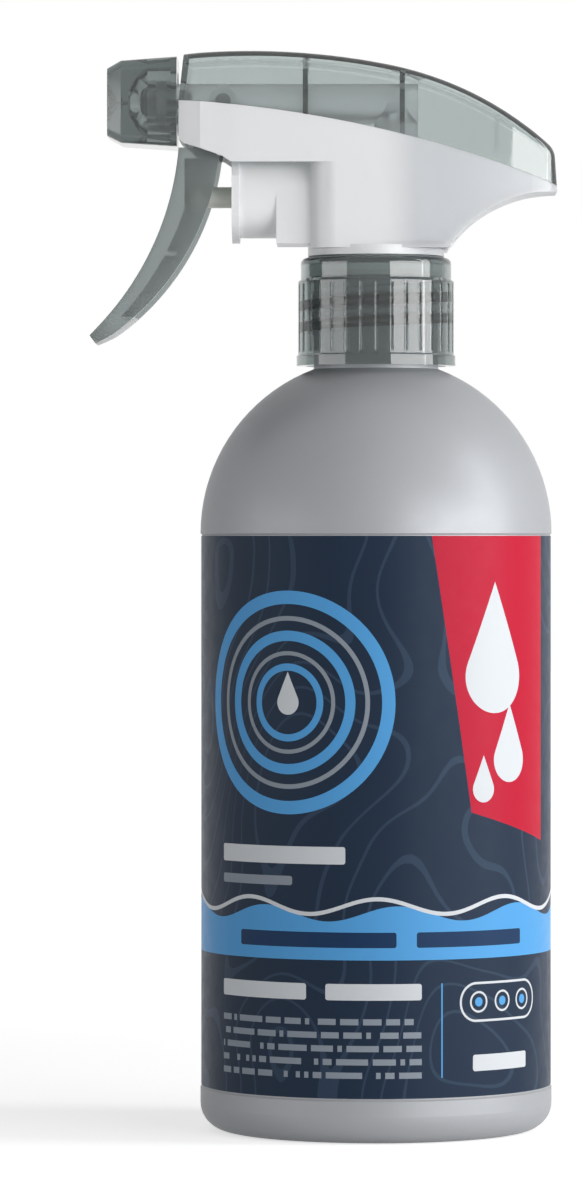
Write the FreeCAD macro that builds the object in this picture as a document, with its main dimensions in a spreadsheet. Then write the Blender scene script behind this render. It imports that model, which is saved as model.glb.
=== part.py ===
import FreeCAD, Part
import math
import os
import re
import Sketcher
from FreeCAD import Placement, Rotation, Vector

# Round trigger spray bottle. Millimetres, Z up, origin on the bottle axis at the floor.
# The nozzle points to -X and the front of the label faces -Y.
SIZES = {
    # bottle
    "bottle_radius": 35.1,
    "bottle_wall": 1.1,
    "heel_radius": 5.5,
    "ring_width": 4.6,
    "push_up": 3.0,
    "panel_depth": 0.3,
    "panel_low": 8.8,
    "panel_step": 0.3,
    "neck_radius": 12.45,
    "neck_wall": 1.65,
    "neck_height": 18.4,
    "neck_top": 170.2,
    # label
    "label_gap": 0.02,
    "label_thick": 0.12,
    "label_margin_low": 0.3,
    "label_margin_high": 0.2,
    "label_seam_angle": 4.0,
    # closure cap
    "cap_lift": 0.6,
    "thread_room": 1.55,
    "cap_wall": 1.05,
    "cap_plate": 1.4,
    "cap_gap": 0.1,
    "cap_round": 1.2,
    "cap_ring_height": 4.8,
    "grip_stand": 0.55,
    "flange_stand": 0.3,
    "flange_height": 2.0,
    "groove_radius": 0.45,
    "groove_count": 32,
    "groove_margin": 0.45,
    # gasket, tube retainer, ball and dip tube
    "gasket_inset": 1.4,
    "gasket_edge": 0.85,
    "gasket_thick": 1.0,
    "retainer_gap": 0.6,
    "retainer_thick": 1.3,
    "plug_radius": 9.0,
    "plug_height": 3.5,
    "plug_gap": 0.03,
    "plug_room": 2.2,
    "riser_x": 4.0,
    "holder_wall": 1.82,
    "holder_length": 9.2,
    "tube_radius": 2.75,
    "tube_wall": 0.7,
    "tube_floor_gap": 1.5,
    "tube_stop": 1.4,
    "tube_gap": 0.03,
    "seat_step": 0.8,
    "seat_lip": 0.014,
    "ball_radius": 2.0,
    "ball_room": 0.6,
    "ball_gap": 0.02,
    # outline shared by the pump body and the shroud
    "head_reach": 39.1,
    "head_half": 12.6,
    "head_wall": 1.2,
    "cheek_step": 1.2,
    "cheek_length": 4.3,
    "waist_x": 12.0,
    "tail_reach": 36.0,
    "tail_corner": 6.0,
    "tail_narrow": 2.0,
    "tail_over": 1.0,
    "seam_fall": 16.7,
    "seam_radius": 241.0,
    "seam_gap": 0.1,
    "plan_room": 6.0,
    "skirt_room": 3.0,
    # shroud
    "shroud_lean": 1.0,
    "shroud_rise": 9.2,
    "crest_radius": 141.2,
    "crest_x": 2.2,
    "crest_fall": 2.0,
    "back_inset": 1.7,
    "back_fall": 15.7,
    "back_wall_x": 0.84,
    "back_wall_z": 0.9,
    "back_end_inset": 0.4,
    "tail_angle": 83.9806642,
    "back_end_wall": 0.24,
    "shroud_round": 2.0,
    "rib_thick": 1.0,
    "rib_skirt": 0.2,
    "rib_front_x": -14.0,
    "rib_rear_x": 5.2,
    "rib_roof": 1.0,
    "rib_rear_room": 2.0,
    "shroud_clearance": 0.4,
    "clip_inset": 12.0,
    "clip_thick": 0.6,
    "clip_depth": 1.2,
    "clip_height": 6.4,
    "clip_lift": 7.4,
    # pump body
    "skirt_depth": 12.2,
    "skirt_corner": 0.8,
    "skirt_front_lift": 3.8,
    "skirt_rear_lift": 1.2,
    "skirt_rear_inset": 8.6,
    "skirt_flat_inset": 10.4,
    "column_front": -13.0,
    "column_rear": 14.3,
    "column_round": 5.0,
    "throat_radius": 25.0,
    "tail_edge": 1.2,
    "collar_gap": 0.3,
    "collar_thick": 1.3,
    "collar_step": 3.0,
    "socket_wall": 1.6,
    "socket_roof": 1.4,
    "riser_wall": 2.65,
    "riser_bore": 1.75,
    "cylinder_rise": 10.5,
    "cylinder_radius": 8.15,
    "cylinder_wall": 1.4,
    "cylinder_floor": 0.6,
    "rim_stand": 1.05,
    "rim_thick": 1.5,
    "rim_flat": 0.15,
    "rim_flat_drop": 1.0,
    "block_length": 6.8,
    "block_lift": 1.0,
    "port_radius": 1.2,
    "port_wall": 1.2,
    "barrel_rise": 18.7,
    "barrel_wall": 1.4,
    "barrel_bore": 2.6,
    "bearing_radius": 6.94,
    "bearing_thick": 2.0,
    "bearing_gap": 0.8,
    "post_gap": 0.2,
    "post_room": 0.2,
    "post_thick": 1.0,
    "post_width": 2.4,
    "post_lift": 0.1,
    "post_rise": 3.4,
    "post_foot_drop": 1.4,
    "boss_radius": 2.8,
    # trigger
    "pivot_inset": 8.8,
    "pivot_drop": 0.2,
    "pin_radius": 1.5,
    "pin_gap": 0.05,
    "pin_short": 0.1,
    "arm_radius": 2.6,
    "trigger_wall": 1.4,
    "trigger_top_drop": 9.1,
    "trigger_top_out": 5.9,
    "trigger_front_out": 8.85,
    "trigger_front_radius": 58.2,
    "trigger_rear_out": 0.8,
    "trigger_rear_drop": 11.0,
    "trigger_rear_radius": 51.5,
    "lever_reach": 26.6,
    "lever_drop": 46.3,
    "tip_bevel_x": 1.1,
    "tip_bevel_z": 1.6,
    "tip_width": 4.5,
    "tip_rise": 0.1,
    "tip_round": 5.0,
    "pad_out": 7.7,
    "pad_drop": 21.2,
    "channel_drop": 11.2,
    "channel_radius": 60.5,
    "channel_end_in": 6.3,
    "channel_end_lift": 3.7,
    "channel_slope": 2.0,
    "cross_rib_out": 13.3,
    "cross_rib_drop": 30.5,
    "cross_rib_thick": 1.0,
    "cross_rib_length": 4.0,
    # piston and spring
    "rod_radius": 2.1,
    "rod_gap": 0.1,
    "head_gap": 0.05,
    "head_waist": 1.1,
    "head_inset": 1.2,
    "head_length": 4.6,
    "lip_length": 1.1,
    "cup_wall": 0.6,
    "cup_depth": 3.0,
    "spring_room": 0.4,
    "spring_wire": 0.4,
    "spring_turns": 5,
    "spring_gap": 0.05,
    # nozzle, swirl insert and outlet valve
    "nozzle_gap": 0.5,
    "nozzle_length": 13.9,
    "nozzle_half": 8.95,
    "nozzle_corner": 1.6,
    "nozzle_slope_length": 2.8,
    "nozzle_taper": 0.75,
    "nozzle_front_taper": 2.2,
    "dish_rim": 0.55,
    "dish_depth": 3.1,
    "dish_floor_radius": 1.0,
    "cavity_gap": 0.06,
    "cavity_depth": 5.8,
    "dome_extra": 0.93,
    "lip_height": 0.6,
    "lip_width": 1.2,
    "hub_wall": 0.8,
    "hub_depth": 7.3,
    "hub_gap": 0.7,
    "hub_floor_thick": 1.2,
    "orifice": 0.35,
    "insert_room": 0.1,
    "insert_gap": 0.5,
    "insert_depth": 3.2,
    "insert_groove_depth": 0.8,
    "insert_groove_width": 1.0,
    "insert_flange": 1.5,
    "valve_gap": 0.8,
    "valve_length": 5.5,
    "valve_room": 0.1,
    "valve_stem": 1.0,
    "valve_disc": 0.8,
    # how far a cut runs past a face, and how far an added piece sinks into its wall
    "cut_over": 1.0,
    "weld": 0.6,
}

# Radii, heights and places that follow from the sizes
PLACES = {
    "ring_radius": "bottle_radius - heel_radius - ring_width",
    "push_up_radius": "(ring_radius^2 + push_up^2) / (2 * push_up)",
    "heel_inner": "heel_radius - bottle_wall",
    "panel_radius": "bottle_radius - panel_depth",
    "inner_radius": "panel_radius - bottle_wall",
    "neck_bore": "neck_radius - neck_wall",
    "dome_top": "neck_top - neck_height",
    "shoulder": "dome_top - sqrt(bottle_radius^2 - neck_radius^2)",
    "panel_high": "shoulder - panel_step",
    "label_radius": "panel_radius + label_gap",
    "label_low": "panel_low + label_margin_low",
    "label_high": "panel_high - label_margin_high",
    "retainer_low": "neck_top + gasket_thick",
    "retainer_top": "retainer_low + retainer_thick",
    "plug_top": "retainer_top + plug_height",
    "cap_top": "retainer_top + cap_gap + cap_plate",
    "cap_low": "dome_top + cap_lift",
    "cap_bore": "neck_radius + thread_room",
    "cap_hole": "plug_radius + plug_room",
    "cap_ring_radius": "cap_bore + cap_wall",
    "grip_radius": "cap_ring_radius + grip_stand",
    "flange_radius": "grip_radius + flange_stand",
    "grip_low": "cap_low + flange_height + flange_stand",
    "grip_high": "cap_top - cap_ring_height",
    "gasket_inner": "neck_bore - gasket_inset",
    "gasket_outer": "neck_radius + gasket_edge",
    "retainer_radius": "cap_bore - retainer_gap",
    "holder_radius": "tube_radius + tube_gap + holder_wall",
    "holder_low": "retainer_low - holder_length",
    "tube_low": "push_up + bottle_wall + tube_floor_gap",
    "tube_top": "retainer_low - tube_stop",
    "seat_low": "retainer_low + seat_step",
    "seat_hole": "ball_radius / sqrt(2) - seat_lip",
    "chamber_radius": "ball_radius + ball_room",
    "chamber_low": "seat_low + chamber_radius - seat_hole",
    "collar_low": "cap_top + collar_gap",
    "collar_high": "collar_low + collar_thick",
    "socket_radius": "plug_radius + socket_wall",
    "collar_radius": "socket_radius + collar_step",
    "cylinder_z": "collar_high + cylinder_rise",
    "barrel_z": "cylinder_z + barrel_rise",
    "head_front": "-head_reach",
    "tail_x": "tail_reach",
    "cheek_half": "head_half - cheek_step",
    "tail_turn_half": "head_half - tail_narrow",
    "seam_tail": "barrel_z - seam_fall",
    "shroud_front": "barrel_z + shroud_rise",
    "crest_z": "shroud_front - crest_fall",
    "back_x": "tail_x - back_inset",
    "back_z": "crest_z - back_fall",
    "back_end_x": "tail_x - back_end_inset",
    "crest_run": "crest_x - head_front - shroud_lean",
    "crest_chord": "sqrt(crest_run^2 + crest_fall^2)",
    "crest_angle": "atan(crest_fall / crest_run) + asin(crest_chord / (2 * crest_radius))",
    "back_angle": "2 * atan(back_fall / (back_x - crest_x)) - crest_angle",
    "back_end_slope": "tan((back_angle + tail_angle * 1 deg) / 2)",
    "back_end_z": "back_z - (back_end_x - back_x) * back_end_slope",
    "barrel_radius": "barrel_bore + barrel_wall",
    "seam_chord": "sqrt((tail_x - head_front)^2 + seam_fall^2)",
    "seam_sink": "sqrt(seam_radius^2 - seam_chord^2 / 4)",
    "seam_centre_x": "(head_front + tail_x) / 2 - seam_fall / seam_chord * seam_sink",
    "seam_centre_z": "barrel_z - seam_fall / 2 - (tail_x - head_front) / seam_chord * seam_sink",
    "rib_edge_x": "rib_front_x - rib_thick / 2",
    "seam_at_rib": "seam_centre_z + sqrt(seam_radius^2 - (rib_edge_x - seam_centre_x)^2)",
    "rib_root": "seam_at_rib + seam_gap + seam_gap",
    "rib_half": "head_half - head_wall + weld",
    "tongue_half": "head_half - head_wall - shroud_clearance",
    "rib_low": "barrel_z - barrel_radius - rib_skirt",
    "barrel_way": "barrel_radius + shroud_clearance",
    "clip_x": "tail_x - clip_inset",
    "clip_low": "seam_tail + clip_lift",
    "clip_wall": "(tail_turn_half + head_half) / 2 - head_wall",
    "skirt_flat": "barrel_z - skirt_depth",
    "skirt_low": "skirt_flat + skirt_front_lift",
    "skirt_rear_z": "skirt_flat + skirt_rear_lift",
    "skirt_rear_x": "head_front + skirt_rear_inset",
    "skirt_flat_x": "head_front + skirt_flat_inset",
    "riser_radius": "riser_bore + riser_wall",
    "cylinder_bore": "cylinder_radius - cylinder_wall",
    "cylinder_front": "skirt_flat_x",
    "cylinder_end": "column_front - cylinder_floor",
    "rim_radius": "cylinder_radius + rim_stand",
    "rim_half": "cylinder_radius + rim_flat",
    "block_front": "column_front - block_length",
    "block_low": "collar_high + block_lift",
    "nozzle_rear": "head_front - nozzle_gap",
    "nozzle_front": "nozzle_rear - nozzle_length",
    "nozzle_slope": "nozzle_front + nozzle_slope_length",
    "nozzle_slope_half": "nozzle_half - nozzle_taper",
    "nozzle_front_half": "nozzle_half - nozzle_front_taper",
    "dish_radius": "nozzle_front_half - dish_rim",
    "dish_floor": "nozzle_front + dish_depth",
    "cavity_radius": "bearing_radius + cavity_gap",
    "cavity_turn": "nozzle_rear - cavity_depth",
    "dome_radius": "cavity_radius + dome_extra",
    "dome_x": "cavity_turn + sqrt(dome_radius^2 - cavity_radius^2)",
    "lip_radius": "cavity_radius - lip_height",
    "lip_front": "nozzle_rear - lip_width",
    "bearing_front": "lip_front - bearing_gap - bearing_thick",
    "insert_radius": "barrel_bore - insert_room",
    "hub_inner": "insert_radius + insert_room",
    "hub_outer": "hub_inner + hub_wall",
    "hub_rear": "nozzle_rear - hub_depth",
    "hub_floor": "dish_floor + hub_floor_thick",
    "barrel_front": "hub_rear + hub_gap",
    "insert_front": "hub_floor + insert_gap",
    "insert_rear": "barrel_front + insert_depth",
    "insert_groove": "insert_radius - insert_groove_depth",
    "groove_rear": "insert_rear - insert_flange",
    "groove_front": "groove_rear - insert_groove_width",
    "valve_front": "insert_rear + valve_gap",
    "valve_rear": "valve_front + valve_length",
    "valve_radius": "barrel_bore - valve_room",
    "pivot_x": "head_front + pivot_inset",
    "pivot_z": "barrel_z - pivot_drop",
    "post_outer": "head_half - head_wall - post_room",
    "post_half": "post_outer - post_thick",
    "trigger_half": "post_half - post_gap",
    "pin_end": "post_outer - pin_short",
    "pin_root": "trigger_half - trigger_wall / 2",
    "post_low": "skirt_rear_z + post_lift",
    "post_high": "pivot_z + post_rise",
    "post_foot": "pivot_z - post_foot_drop",
    "post_front": "pivot_x - post_width / 2",
    "post_rear": "pivot_x + post_width / 2",
    "trigger_inner": "trigger_half - trigger_wall",
    "trigger_top": "pivot_z - trigger_top_drop",
    "trigger_top_x": "pivot_x - trigger_top_out",
    "trigger_front_x": "pivot_x - trigger_front_out",
    "trigger_rear_x": "pivot_x - trigger_rear_out",
    "trigger_rear_z": "pivot_z - trigger_rear_drop",
    "tip_front_x": "pivot_x - lever_reach",
    "tip_front_z": "pivot_z - lever_drop",
    "tip_low_x": "tip_front_x + tip_bevel_x",
    "tip_low_z": "tip_front_z - tip_bevel_z",
    "tip_rear_x": "tip_front_x + tip_width",
    "tip_rear_z": "tip_front_z + tip_rise",
    "pad_x": "pivot_x - pad_out",
    "pad_low": "pivot_z - pad_drop",
    "channel_top": "pivot_z - channel_drop",
    "channel_end_x": "tip_front_x + channel_end_in",
    "channel_end_z": "tip_front_z + channel_end_lift",
    "channel_rear": "pivot_x + arm_radius + cut_over",
    "channel_high": "pivot_z + arm_radius + cut_over",
    "cross_rib_x": "pivot_x - cross_rib_out",
    "cross_rib_z": "pivot_z - cross_rib_drop",
    "rod_tip": "pad_x + rod_gap",
    "head_radius": "cylinder_bore - head_gap",
    "head_neck": "head_radius - head_waist",
    "head_front_x": "cylinder_front + head_inset",
    "head_end": "head_front_x + head_length",
    "cup_radius": "head_neck - cup_wall",
    "cup_floor": "head_end - cup_depth",
    "spring_radius": "cup_radius - spring_room - spring_wire",
    "spring_start": "cup_floor + spring_wire + spring_gap",
    "spring_end": "cylinder_end - spring_wire - spring_gap",
}

SAME = 0.01

TURN = {
    "x": Rotation(Vector(0, 1, 0), 90),
    "y": Rotation(Vector(1, 0, 0), -90),
    "z": Rotation(),
}

doc = FreeCAD.newDocument("spray_bottle")
sheet = doc.addObject("Spreadsheet::Sheet", "Sizes")
for row, (alias, size) in enumerate({**SIZES, **PLACES}.items(), 1):
    sheet.set("A%d" % row, alias)
    sheet.set("B%d" % row, "=" + size if alias in PLACES else str(size))
    sheet.setAlias("B%d" % row, alias)
doc.recompute()


def formula(text):
    """Bare size names become references to the sheet."""

    def refer(match):
        word = match.group(0)
        return "Sizes." + word if word in SIZES or word in PLACES else word

    return re.sub(r"[a-z][a-z_0-9]*", refer, str(text))


def number(text):
    return float(sheet.evalExpression(formula(text)))


def bind(feature, **properties):
    for name, text in properties.items():
        feature.setExpression(name, formula(text))


def place(feature, at):
    for axis, text in zip("xyz", at):
        feature.setExpression("Placement.Base." + axis, formula(text))


def new_body(label):
    body = doc.addObject("PartDesign::Body", label)
    body.Label = label
    return body


def new_sketch(body, name, plane, offset=None):
    sketch = body.newObject("Sketcher::SketchObject", name)
    base = [f for f in body.Origin.OriginFeatures if f.Role == plane + "_Plane"][0]
    sketch.AttachmentSupport = [(base, "")]
    sketch.MapMode = "FlatFace"
    if offset is not None:
        sketch.setExpression("AttachmentOffset.Base.z", formula(offset))
    return sketch


def arc_centre(start, end, radius, left):
    middle = (start + end) * 0.5
    chord = end - start
    rise = math.sqrt(max(radius ** 2 - chord.Length ** 2 / 4, 0))
    side = Vector(-chord.y, chord.x, 0).normalize()
    return middle + side * (rise if left else -rise)


def tangent_radius(start, end, heading):
    chord = end - start
    return chord.Length ** 2 / (2 * abs(heading.x * chord.y - heading.y * chord.x))


def draw(sketch, steps):
    """Closed outline. A step is (u, v) for a line to that point, or (u, v, turn, radius) for an arc.

    The turn is "left" or "right", and the radius is a size or "smooth" for an arc that
    leaves the piece before it without a corner.
    """
    points = [Vector(number(s[0]), number(s[1]), 0) for s in steps]
    first = sketch.GeometryCount
    ends = []
    heading = Vector(1, 0, 0)
    for index, step in enumerate(steps[1:] + steps[:1]):
        start = points[index]
        end = points[(index + 1) % len(points)]
        if len(step) == 2:
            sketch.addGeometry(Part.LineSegment(start, end))
            ends.append((1, 2))
            heading = (end - start).normalize()
            continue
        left = step[2] == "left"
        smooth = step[3] == "smooth"
        radius = tangent_radius(start, end, heading) if smooth else number(step[3])
        centre = arc_centre(start, end, radius, left)
        low, high = (start, end) if left else (end, start)
        angles = [math.atan2(p.y - centre.y, p.x - centre.x) for p in (low, high)]
        circle = Part.Circle(centre, Vector(0, 0, 1), radius)
        sketch.addGeometry(Part.ArcOfCircle(circle, angles[0], angles[1]))
        ends.append((1, 2) if left else (2, 1))
        spoke = (end - centre).normalize()
        heading = Vector(-spoke.y, spoke.x, 0) * (1 if left else -1)
    for index, step in enumerate(steps):
        piece = first + index
        lead = first + (index - 1) % len(steps)
        start = ends[index][0]
        last = ends[index - 1][1]
        if len(step) == 4 and step[3] == "smooth":
            before = (index - 2) % len(steps)
            joint = (first + before, ends[before][1], lead, ends[index - 1][0])
            sketch.addConstraint(Sketcher.Constraint("Tangent", *joint))
        elif len(step) == 4:
            fixed = sketch.addConstraint(Sketcher.Constraint("Radius", lead, number(step[3])))
            sketch.setExpression("Constraints[%d]" % fixed, formula(step[3]))
        smooth_next = steps[(index + 1) % len(steps)]
        if not (len(smooth_next) == 4 and smooth_next[3] == "smooth"):
            sketch.addConstraint(Sketcher.Constraint("Coincident", lead, last, piece, start))
        for kind, text in zip(("DistanceX", "DistanceY"), step):
            held = (kind, -1, 1, piece, start, number(text))
            fixed = sketch.addConstraint(Sketcher.Constraint(*held))
            sketch.setExpression("Constraints[%d]" % fixed, formula(text))


def draw_circle(sketch, u, v, radius):
    centre = Vector(number(u), number(v), 0)
    piece = sketch.addGeometry(Part.Circle(centre, Vector(0, 0, 1), number(radius)))
    held = [
        (u, ("DistanceX", -1, 1, piece, 3, centre.x)),
        (v, ("DistanceY", -1, 1, piece, 3, centre.y)),
        (radius, ("Radius", piece, number(radius))),
    ]
    for text, constraint in held:
        fixed = sketch.addConstraint(Sketcher.Constraint(*constraint))
        sketch.setExpression("Constraints[%d]" % fixed, formula(text))


def turned(body, name, axis, steps, kind="Revolution"):
    """Outline in the XZ plane turned about Z ("V_Axis") or X ("H_Axis")."""
    sketch = new_sketch(body, name + "_outline", "XZ")
    draw(sketch, steps)
    feature = body.newObject("PartDesign::" + kind, name)
    feature.Profile = sketch
    feature.ReferenceAxis = (sketch, [axis])
    feature.Angle = 360
    return feature


def extruded(body, name, plane, outlines, kind, length=None):
    """Outline pushed evenly to both sides of its plane, through everything if no length is given."""
    sketch = new_sketch(body, name + "_outline", plane)
    for steps in outlines:
        draw(sketch, steps)
    feature = body.newObject("PartDesign::" + kind, name)
    feature.Profile = sketch
    feature.SideType = "Symmetric"
    if length is None:
        feature.Type = "ThroughAll"
    else:
        bind(feature, Length=length)
    return feature


def rod(body, kind, name, along, at, radius, length):
    feature = body.newObject("PartDesign::%sCylinder" % kind, name)
    feature.Placement = Placement(Vector(), TURN[along])
    bind(feature, Radius=radius, Height=length)
    place(feature, at)
    return feature


def upright(body, kind, name, radius, low, high, x="riser_x"):
    """Round piece or hole along Z."""
    return rod(body, kind, name, "z", (x, "0", low), radius, "(%s) - (%s)" % (high, low))


def level(body, kind, name, radius, front, rear, z):
    """Round piece or hole along X."""
    return rod(body, kind, name, "x", (front, "0", z), radius, "(%s) - (%s)" % (rear, front))


def across(body, kind, name, radius, low, high):
    """Round piece or hole along Y, on the trigger's pivot line."""
    return rod(body, kind, name, "y", ("pivot_x", low, "pivot_z"), radius, "(%s) - (%s)" % (high, low))


def block(body, kind, name, low, high):
    feature = body.newObject("PartDesign::%sBox" % kind, name)
    lengths = ["(%s) - (%s)" % (b, a) for a, b in zip(low, high)]
    bind(feature, Length=lengths[0], Width=lengths[1], Height=lengths[2])
    place(feature, low)
    return feature


def both_sides(low, high):
    """The same Y stretch on the near and the far side."""
    return (("near", "-(%s)" % high, "-(%s)" % low), ("far", low, high))


def round_edges(body, name, base, radius, wanted, kind="Fillet"):
    doc.recompute()
    names = ["Edge%d" % n for n, edge in enumerate(base.Shape.Edges, 1) if wanted(edge)]
    feature = body.newObject("PartDesign::" + kind, name)
    feature.Base = (base, names)
    if kind == "Fillet":
        bind(feature, Radius=radius)
    return feature


def corner_at(x):
    """Picks the upright edges at one X."""

    def wanted(edge):
        box = edge.BoundBox
        is_upright = box.XLength < SAME and box.YLength < SAME
        return is_upright and abs(box.XMin - number(x)) < SAME

    return wanted


def take_out(body, name, core):
    """The core solid is cut from the body."""
    feature = body.newObject("PartDesign::Boolean", name)
    feature.setObjects([core])
    feature.Type = "Cut"
    return feature


def plan_outlines(inset):
    """Everything outside the head as seen from above, out to a rectangle well beyond it."""
    frame = [
        ("head_front - plan_room", "-(head_half + plan_room)"),
        ("tail_x + plan_room", "-(head_half + plan_room)"),
        ("tail_x + plan_room", "head_half + plan_room"),
        ("head_front - plan_room", "head_half + plan_room"),
    ]
    cheek = "(cheek_half - %s)" % inset
    side = "(head_half - %s)" % inset
    turn = "(tail_turn_half - %s)" % inset
    end = "(tail_x + tail_over - %s)" % inset
    turn_x = "(tail_x + tail_over - tail_corner)"
    lean = "((%s - %s) / (%s - waist_x))" % (side, turn, turn_x)
    flat = "(%s - (%s - %s) * (1 + %s) / (1 - %s))" % (turn, end, turn_x, lean, lean)
    head = [
        ("head_front - plan_room / 2", "-" + cheek),
        ("head_front", "-" + cheek),
        ("head_front + cheek_length", "-" + side),
        ("waist_x", "-" + side),
        (turn_x, "-" + turn, "left", "smooth"),
        (end, "-" + flat, "left", "smooth"),
        (end, flat),
        (turn_x, turn, "left", "smooth"),
        ("waist_x", side, "left", "smooth"),
        ("head_front + cheek_length", side),
        ("head_front", cheek),
        ("head_front - plan_room / 2", cheek),
    ]
    return [frame, head]


def head_solid(body, name, outline, inset):
    """Side outline as wide as the head, trimmed to the outline seen from above."""
    extruded(body, name + "_side", "XZ", [outline], "Pad", "2 * (head_half - %s)" % inset)
    return extruded(body, name + "_plan", "XY", plan_outlines(inset), "Pocket")


def seam_height(x):
    """Height of the joint line between pump body and shroud."""
    across_seam = x - number("seam_centre_x")
    return number("seam_centre_z") + math.sqrt(number("seam_radius") ** 2 - across_seam ** 2)


# Bottle
bottle = new_body("bottle")
turned(bottle, "bottle_shell", "V_Axis", [
    ("0", "push_up + bottle_wall", "left", "push_up_radius"),
    ("0", "push_up"),
    ("ring_radius", "0", "right", "push_up_radius"),
    ("bottle_radius - heel_radius", "0"),
    ("bottle_radius", "heel_radius", "left", "heel_radius"),
    ("bottle_radius", "panel_low - panel_step"),
    ("panel_radius", "panel_low"),
    ("panel_radius", "panel_high"),
    ("bottle_radius", "shoulder"),
    ("neck_radius", "dome_top", "left", "bottle_radius"),
    ("neck_radius", "neck_top"),
    ("neck_bore", "neck_top"),
    ("neck_bore", "shoulder + sqrt(inner_radius^2 - neck_bore^2)"),
    ("inner_radius", "shoulder", "right", "inner_radius"),
    ("inner_radius", "heel_radius"),
    ("inner_radius - heel_inner", "bottle_wall", "right", "heel_inner"),
    ("ring_radius", "bottle_wall"),
])

# Label, with its open seam at the back
wrap_label = new_body("wrap_label")
film = turned(wrap_label, "label_film", "V_Axis", [
    ("label_radius", "label_low"),
    ("label_radius + label_thick", "label_low"),
    ("label_radius + label_thick", "label_high"),
    ("label_radius", "label_high"),
])
film.Midplane = True
bind(film, Angle="360 - label_seam_angle")
wrap_label.Placement = Placement(Vector(), Rotation(Vector(0, 0, 1), -90))

# Closure cap with fine upright grooves
closure_cap = new_body("closure_cap")
cap_shell = turned(closure_cap, "cap_shell", "V_Axis", [
    ("cap_bore", "cap_low"),
    ("flange_radius", "cap_low"),
    ("flange_radius", "cap_low + flange_height"),
    ("grip_radius", "grip_low"),
    ("grip_radius", "grip_high"),
    ("cap_ring_radius", "grip_high + grip_stand"),
    ("cap_ring_radius", "cap_top - cap_round"),
    ("cap_ring_radius - cap_round", "cap_top", "left", "cap_round"),
    ("cap_hole", "cap_top"),
    ("cap_hole", "cap_top - cap_plate"),
    ("cap_bore", "cap_top - cap_plate"),
])
groove_at = ("grip_radius", "0", "grip_low + groove_margin")
groove_length = "grip_high - grip_low - 2 * groove_margin"
groove = rod(closure_cap, "Subtractive", "grip_groove", "z", groove_at, "groove_radius", groove_length)
grooves = closure_cap.newObject("PartDesign::PolarPattern", "grip_grooves")
grooves.Originals = [groove]
grooves.Axis = (cap_shell.Profile[0], ["V_Axis"])
grooves.Angle = 360
bind(grooves, Occurrences="groove_count")
closure_cap.Tip = grooves

# Gasket on the neck rim
neck_gasket = new_body("neck_gasket")
turned(neck_gasket, "gasket_ring", "V_Axis", [
    ("gasket_inner", "neck_top"),
    ("gasket_outer", "neck_top"),
    ("gasket_outer", "retainer_low"),
    ("gasket_inner", "retainer_low"),
])

# Tube retainer with the ball seat
tube_retainer = new_body("tube_retainer")
turned(tube_retainer, "retainer_disc", "V_Axis", [
    ("0", "retainer_low"),
    ("retainer_radius", "retainer_low"),
    ("retainer_radius", "retainer_top"),
    ("plug_radius", "retainer_top"),
    ("plug_radius", "plug_top"),
    ("0", "plug_top"),
])
upright(tube_retainer, "Additive", "tube_holder", "holder_radius", "holder_low", "retainer_low + weld")
socket_low = "holder_low - cut_over"
upright(tube_retainer, "Subtractive", "tube_socket", "tube_radius + tube_gap", socket_low, "tube_top")
upright(tube_retainer, "Subtractive", "seat_bore", "seat_hole", "tube_top - cut_over", "chamber_low")
seat = tube_retainer.newObject("PartDesign::SubtractiveCone", "ball_seat")
bind(seat, Radius1="seat_hole", Radius2="chamber_radius", Height="chamber_radius - seat_hole")
place(seat, ("riser_x", "0", "seat_low"))
upright(tube_retainer, "Subtractive", "ball_chamber", "chamber_radius", "chamber_low", "plug_top + cut_over")

# Dip tube with a slanted lower end
dip_tube = new_body("dip_tube")
upright(dip_tube, "Additive", "tube_outside", "tube_radius", "tube_low", "tube_top")
hole_ends = ("tube_low - cut_over", "tube_top + cut_over")
upright(dip_tube, "Subtractive", "tube_hole", "tube_radius - tube_wall", *hole_ends)
extruded(dip_tube, "tube_slant", "XZ", [[
    ("riser_x - tube_radius", "tube_low"),
    ("riser_x + tube_radius + cut_over", "tube_low"),
    ("riser_x + tube_radius + cut_over", "tube_low + 2 * tube_radius + cut_over"),
]], "Pocket")

# Ball of the inlet valve
inlet_ball = doc.addObject("Part::Sphere", "inlet_ball")
inlet_ball.Label = "inlet_ball"
bind(inlet_ball, Radius="ball_radius")
place(inlet_ball, ("riser_x", "0", "seat_low - seat_hole + ball_radius * sqrt(2) + ball_gap"))

# Pump body: hollow shell, then collar, cylinder, riser, barrel and pivot posts
body_core = new_body("body_core")
core_plan = head_solid(body_core, "core", [
    ("head_front + head_wall", "barrel_z + barrel_radius"),
    ("head_front + head_wall", "skirt_flat - skirt_room"),
    ("column_front", "skirt_flat - skirt_room"),
    ("column_front", "skirt_flat"),
    ("column_front + head_wall", "skirt_flat"),
    ("column_front + head_wall", "collar_high + head_wall"),
    ("column_rear - head_wall / 2", "collar_high + head_wall"),
    ("tail_x - head_wall", "seam_tail - tail_edge + head_wall", "right", "throat_radius + head_wall"),
    ("tail_x - head_wall", "barrel_z + barrel_radius"),
], "head_wall")
core_edges = corner_at("column_front + head_wall")
round_edges(body_core, "core_rounding", core_plan, "column_round - head_wall", core_edges)

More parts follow.
